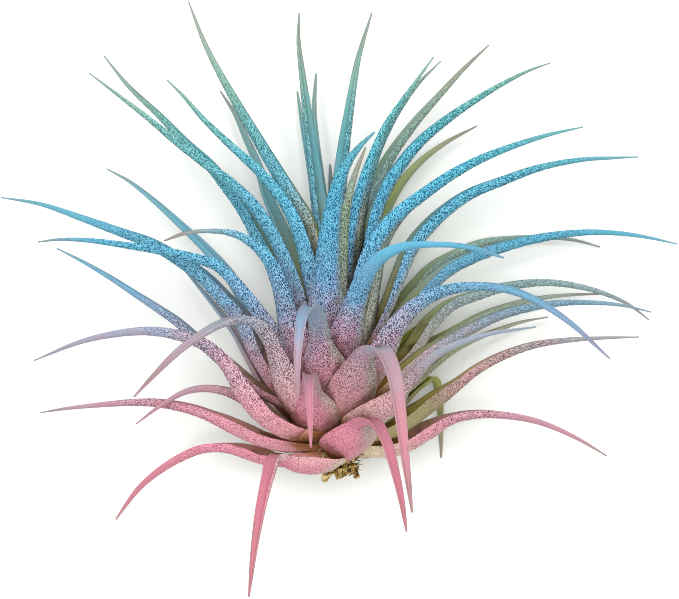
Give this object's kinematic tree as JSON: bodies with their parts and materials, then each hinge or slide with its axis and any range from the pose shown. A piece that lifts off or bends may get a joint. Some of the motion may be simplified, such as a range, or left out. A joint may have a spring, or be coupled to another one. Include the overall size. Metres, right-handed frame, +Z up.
{
  "type": "sky plant",
  "caption": "Tufted air plant lying on its side: a spiral of clasping sheaths and tapering channelled leaves on a short stem with a dry root stub.",
  "frame": {"origin": "centre of the plant's box, on the surface that it lies on", "axes": "+X across the rosette, +Y from the root stub to the crown, +Z up from the surface"},
  "size_m": [0.1252, 0.1064, 0.0708],
  "materials": {
    "leaf_pink": "matte",
    "leaf_lilac": "matte",
    "leaf_blue": "matte",
    "leaf_green": "matte",
    "stem_green": "matte",
    "dry_root": "matte"
  },
  "bodies": {
    "root": {"stem": "stem_green", "root_stub": "dry_root", "front_leaf_1": "leaf_pink", "front_leaf_2": "leaf_pink", "front_leaf_3": "leaf_pink", "front_leaf_4": "leaf_lilac", "front_leaf_5": "leaf_lilac", "front_leaf_6": "leaf_lilac", "front_leaf_7": "leaf_lilac", "front_leaf_8": "leaf_blue", "front_leaf_9": "leaf_blue", "front_leaf_10": "leaf_lilac", "front_leaf_11": "leaf_blue", "left_leaf_1": "leaf_pink", "left_leaf_2": "leaf_pink", "left_leaf_3": "leaf_pink", "left_leaf_4": "leaf_lilac", "left_leaf_5": "leaf_lilac", "left_leaf_6": "leaf_blue", "left_leaf_7": "leaf_blue", "crown_leaf_1": "leaf_blue", "crown_leaf_2": "leaf_blue", "crown_leaf_3": "leaf_blue", "crown_leaf_4": "leaf_blue", "crown_leaf_5": "leaf_blue", "crown_leaf_6": "leaf_blue", "crown_leaf_7": "leaf_blue", "crown_leaf_8": "leaf_blue", "crown_leaf_9": "leaf_blue", "crown_leaf_10": "leaf_blue", "crown_leaf_11": "leaf_blue", "crown_leaf_12": "leaf_blue", "crown_leaf_13": "leaf_blue", "crown_leaf_14": "leaf_blue", "right_leaf_1": "leaf_pink", "right_leaf_2": "leaf_lilac", "right_leaf_3": "leaf_lilac", "right_leaf_4": "leaf_lilac", "right_leaf_5": "leaf_blue", "back_leaf_1": "leaf_green", "back_leaf_2": "leaf_green", "back_leaf_3": "leaf_green", "back_leaf_4": "leaf_green", "back_leaf_5": "leaf_green", "back_leaf_6": "leaf_green", "back_leaf_7": "leaf_green", "back_leaf_8": "leaf_green", "back_leaf_9": "leaf_green", "back_leaf_10": "leaf_green", "back_leaf_11": "leaf_green", "back_leaf_12": "leaf_green", "under_leaf_1": "leaf_green", "under_leaf_2": "leaf_green", "under_leaf_3": "leaf_green", "under_leaf_4": "leaf_green", "under_leaf_5": "leaf_green", "under_leaf_6": "leaf_green", "under_leaf_7": "leaf_green"}
  },
  "joints": []
}
